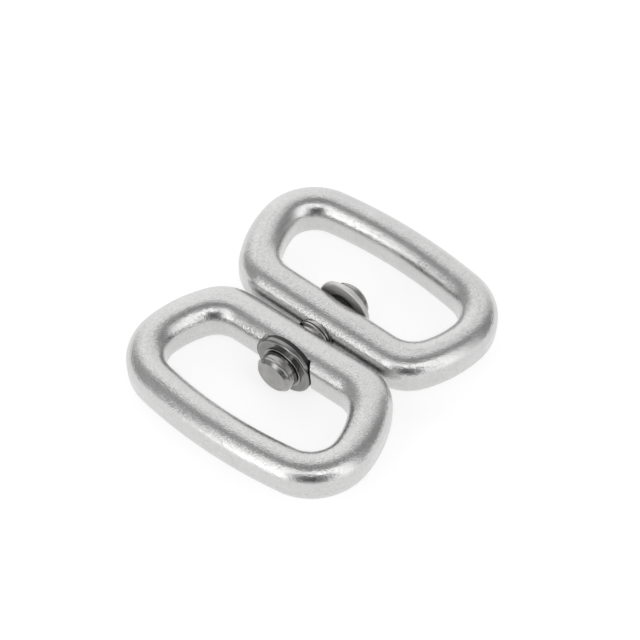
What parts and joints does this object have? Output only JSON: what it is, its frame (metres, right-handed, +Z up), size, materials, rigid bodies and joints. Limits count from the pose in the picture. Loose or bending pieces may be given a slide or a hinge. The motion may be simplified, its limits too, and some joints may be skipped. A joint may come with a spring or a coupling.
{
  "type": "anchor swivel",
  "caption": "Two D-shaped rings set nose to nose on a short swivel pin, so a line or strap on one ring can turn freely against the other.",
  "frame": {"origin": "on the swivel pin's axis, midway between the two rings", "axes": "+Y along the pin towards the rear ring, +X along the rings' long side, +Z up, out of the rings' plane"},
  "size_m": [0.0614, 0.0726, 0.0142],
  "materials": {
    "ring_aluminium": "satin, fine blasted and clear anodised",
    "pin_steel": "turned and lightly polished stainless steel",
    "washer_steel": "rolled and tumbled stainless steel",
    "sleeve_steel": "bright stainless steel",
    "black_polymer": "dull black acetal"
  },
  "bodies": {
    "rear_eye": {"rear_ring": "ring_aluminium", "rear_sleeve": "sleeve_steel", "rear_bush": "black_polymer"},
    "pin": {"swivel_pin": "pin_steel", "rear_cap": "pin_steel", "front_collar": "pin_steel", "rear_collar": "pin_steel"},
    "front_eye": {"front_ring": "ring_aluminium", "front_sleeve": "sleeve_steel", "front_bush": "black_polymer"},
    "front_washer": {"front_washer": "washer_steel"},
    "rear_washer": {"rear_washer": "washer_steel"},
    "gap_washer": {"gap_washer": "black_polymer"}
  },
  "joints": [
    {"name": "pin_spin", "type": "hinge", "parent": "rear_eye", "child": "pin", "pos_m": [0, 0, 0], "axis": [0, 1, 0], "continuous": true},
    {"name": "front_ring_swivel", "type": "hinge", "parent": "pin", "child": "front_eye", "pos_m": [0, 0, 0], "axis": [0, 1, 0], "continuous": true},
    {"name": "front_washer_spin", "type": "hinge", "parent": "pin", "child": "front_washer", "pos_m": [0, -0.0098, 0], "axis": [0, 1, 0], "continuous": true},
    {"name": "rear_washer_spin", "type": "hinge", "parent": "pin", "child": "rear_washer", "pos_m": [0, 0.0107, 0], "axis": [0, 1, 0], "continuous": true},
    {"name": "gap_washer_spin", "type": "hinge", "parent": "pin", "child": "gap_washer", "pos_m": [0, 0, 0], "axis": [0, 1, 0], "continuous": true}
  ]
}
